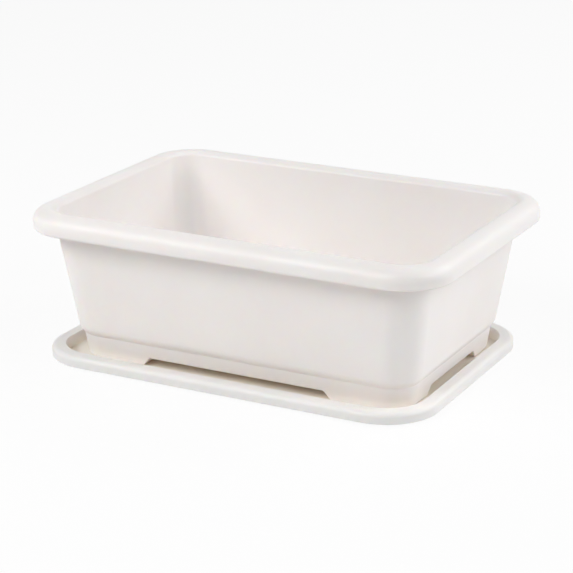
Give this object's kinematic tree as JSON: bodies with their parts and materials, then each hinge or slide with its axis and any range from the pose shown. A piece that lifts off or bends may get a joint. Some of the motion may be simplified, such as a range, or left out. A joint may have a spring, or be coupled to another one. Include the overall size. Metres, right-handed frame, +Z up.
{
  "type": "indoor herb planter",
  "caption": "Rectangular tabletop planter with tapered walls, a rolled rim, hollow feet, a lift-out slotted drainage plate and a shallow drip tray.",
  "frame": {"origin": "on the table, under the centre of the tub", "axes": "+X along the length, +Y to the back, +Z up"},
  "size_m": [0.34, 0.239, 0.1188],
  "materials": {
    "tub_plastic": "satin moulded",
    "tray_plastic": "satin moulded",
    "plate_plastic": "satin moulded"
  },
  "bodies": {
    "tray": {"drip_tray": "tray_plastic"},
    "tub": {"planter_tub": "tub_plastic"},
    "plate": {"drainage_plate": "plate_plastic"}
  },
  "joints": [
    {"name": "tub_lift", "type": "slide", "parent": "tray", "child": "tub", "axis": [0, 0, 1], "range_m": [0, 0.05]},
    {"name": "plate_lift", "type": "slide", "parent": "tub", "child": "plate", "axis": [0, 0, 1], "range_m": [0, 0.12]}
  ]
}
